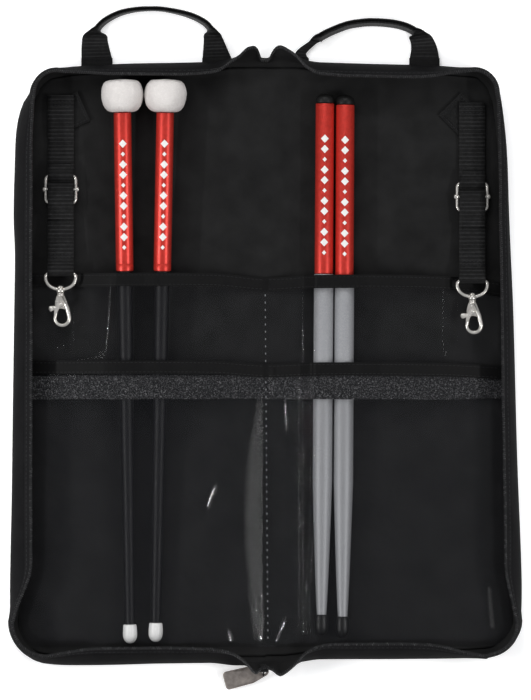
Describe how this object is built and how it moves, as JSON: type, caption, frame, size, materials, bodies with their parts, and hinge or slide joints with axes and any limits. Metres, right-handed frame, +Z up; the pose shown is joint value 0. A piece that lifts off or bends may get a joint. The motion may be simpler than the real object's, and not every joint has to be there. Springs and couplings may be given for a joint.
{
  "type": "drum stick bag",
  "caption": "Padded nylon bag that opens like a book, with clear stick pockets, webbing handles, swivel-hook straps, mallets and sticks inside.",
  "frame": {"origin": "middle of the spine's outer face, on the face that the open bag lies on", "axes": "+X towards the half that holds the plain sticks, +Y along the spine towards the carrying handles, +Z up out of the open bag"},
  "size_m": [0.3912, 0.5183, 0.0377],
  "materials": {
    "nylon": "matte woven nylon",
    "foam": "closed-cell foam padding, hidden between shell and lining",
    "lining": "matte nylon lining",
    "webbing": "ribbed polypropylene webbing and grosgrain",
    "coil": "black nylon zip coil",
    "vinyl": "clear glossy PVC",
    "loop_pile": "fuzzy loop tape",
    "nickel": "satin nickel plate",
    "gunmetal": "satin gunmetal",
    "felt": "off-white felt",
    "red_anodised": "satin red anodising",
    "black_shaft": "semi-gloss black",
    "silver_shaft": "satin grey alloy",
    "white_nylon": "smooth white nylon",
    "black_nylon": "smooth black nylon"
  },
  "bodies": {
    "spine": {"spine_shell": "nylon", "spine_foam_pad": "foam", "spine_lining": "lining", "spine_top_end_wall": "nylon", "spine_bottom_end_wall": "nylon", "spine_rear_pocket_sheet": "vinyl", "spine_front_pocket_sheet": "vinyl", "zip_slider_body": "black_nylon"},
    "zip_pull": {"zip_pull_tab": "gunmetal"},
    "left_half": {"left_back_shell": "nylon", "left_foam_pad": "foam", "left_lining": "lining", "left_gusset": "nylon", "left_zip_chain": "coil", "left_rear_pocket_sheet": "vinyl", "left_front_pocket_sheet": "vinyl", "left_rear_pocket_binding": "webbing", "left_front_pocket_binding": "webbing", "left_loop_tape": "loop_pile", "left_strap_anchor": "webbing"},
    "left_handle": {"left_handle": "webbing"},
    "left_strap": {"left_strap": "webbing", "left_hook_ring": "nickel"},
    "left_strap_slider": {"left_strap_slider": "nickel"},
    "left_hook": {"left_hook_body": "nickel"},
    "left_hook_lever": {"left_hook_lever": "nickel"},
    "right_half": {"right_back_shell": "nylon", "right_foam_pad": "foam", "right_lining": "lining", "right_gusset": "nylon", "right_zip_chain": "coil", "right_rear_pocket_sheet": "vinyl", "right_front_pocket_sheet": "vinyl", "right_rear_pocket_binding": "webbing", "right_front_pocket_binding": "webbing", "right_loop_tape": "loop_pile", "right_strap_anchor": "webbing"},
    "right_handle": {"right_handle": "webbing"},
    "right_strap": {"right_strap": "webbing", "right_hook_ring": "nickel"},
    "right_strap_slider": {"right_strap_slider": "nickel"},
    "right_hook": {"right_hook_body": "nickel"},
    "right_hook_lever": {"right_hook_lever": "nickel"},
    "mallet_1": {"mallet_1_head": "felt", "mallet_1_grip": "red_anodised", "mallet_1_shaft": "black_shaft", "mallet_1_tip": "white_nylon"},
    "stick_1": {"stick_1_cap": "black_nylon", "stick_1_grip": "red_anodised", "stick_1_shaft": "silver_shaft", "stick_1_tip": "black_nylon"},
    "mallet_2": {"mallet_2_head": "felt", "mallet_2_grip": "red_anodised", "mallet_2_shaft": "black_shaft", "mallet_2_tip": "white_nylon"},
    "stick_2": {"stick_2_cap": "black_nylon", "stick_2_grip": "red_anodised", "stick_2_shaft": "silver_shaft", "stick_2_tip": "black_nylon"}
  },
  "joints": [
    {"name": "left_half_fold", "type": "hinge", "parent": "spine", "child": "left_half", "pos_m": [-0.026, 0, 0.005], "axis": [0, 1, 0], "range_deg": [0, 90]},
    {"name": "right_half_fold", "type": "hinge", "parent": "spine", "child": "right_half", "pos_m": [0.026, 0, 0.005], "axis": [0, -1, 0], "range_deg": [0, 90]},
    {"name": "left_handle_lift", "type": "hinge", "parent": "left_half", "child": "left_handle", "pos_m": [-0.0825, 0.2282, 0.003], "axis": [-1, 0, 0], "range_deg": [-68, 0]},
    {"name": "left_strap_flip", "type": "hinge", "parent": "left_half", "child": "left_strap", "pos_m": [-0.1543, 0.201, 0.0076], "axis": [1, 0, 0], "range_deg": [-105, 0]},
    {"name": "left_strap_adjust", "type": "slide", "parent": "left_strap", "child": "left_strap_slider", "axis": [0, -0.9977, 0.068], "range_m": [-0.012, 0.03]},
    {"name": "left_hook_swivel", "type": "hinge", "parent": "left_strap", "child": "left_hook", "pos_m": [-0.1543, 0.05247, 0.0159], "axis": [0, -1, 0], "continuous": true},
    {"name": "left_hook_gate", "type": "hinge", "parent": "left_hook", "child": "left_hook_lever", "pos_m": [-0.154, 0.04377, 0.0159], "axis": [0, 0, 1], "range_deg": [0, 28], "stiffness_Nm_per_rad": 0.02, "springref_deg": -17.19},
    {"name": "right_handle_lift", "type": "hinge", "parent": "right_half", "child": "right_handle", "pos_m": [0.077, 0.2282, 0.003], "axis": [-1, 0, 0], "range_deg": [-68, 0]},
    {"name": "right_strap_flip", "type": "hinge", "parent": "right_half", "child": "right_strap", "pos_m": [0.1558, 0.1955, 0.0076], "axis": [1, 0, 0], "range_deg": [-105, 0]},
    {"name": "right_strap_adjust", "type": "slide", "parent": "right_strap", "child": "right_strap_slider", "axis": [0, -0.9977, 0.068], "range_m": [-0.012, 0.03]},
    {"name": "right_hook_swivel", "type": "hinge", "parent": "right_strap", "child": "right_hook", "pos_m": [0.1558, 0.04697, 0.0159], "axis": [0, -1, 0], "continuous": true},
    {"name": "right_hook_gate", "type": "hinge", "parent": "right_hook", "child": "right_hook_lever", "pos_m": [0.1561, 0.03827, 0.0159], "axis": [0, 0, 1], "range_deg": [0, 28], "stiffness_Nm_per_rad": 0.02, "springref_deg": -17.19},
    {"name": "zip_pull_swing", "type": "hinge", "parent": "spine", "child": "zip_pull", "pos_m": [-0.0015, -0.2358, 0.0038], "axis": [0, 0, 1], "range_deg": [0, 120]},
    {"name": "mallet_1_roll", "type": "hinge", "parent": "left_half", "child": "mallet_1", "pos_m": [-0.102, -0.2122, 0.0106], "axis": [-0.0141, 0.9996, 0.0263], "continuous": true},
    {"name": "mallet_2_roll", "type": "hinge", "parent": "left_half", "child": "mallet_2", "pos_m": [-0.0829, -0.211, 0.0106], "axis": [0.0186, 0.9995, 0.0264], "continuous": true},
    {"name": "stick_1_slide", "type": "slide", "parent": "right_half", "child": "stick_1", "axis": [-0.0068, -1, 0], "range_m": [-0.013, 0]},
    {"name": "stick_2_slide", "type": "slide", "parent": "right_half", "child": "stick_2", "axis": [-0.0051, -1, 0], "range_m": [-0.013, 0]}
  ]
}
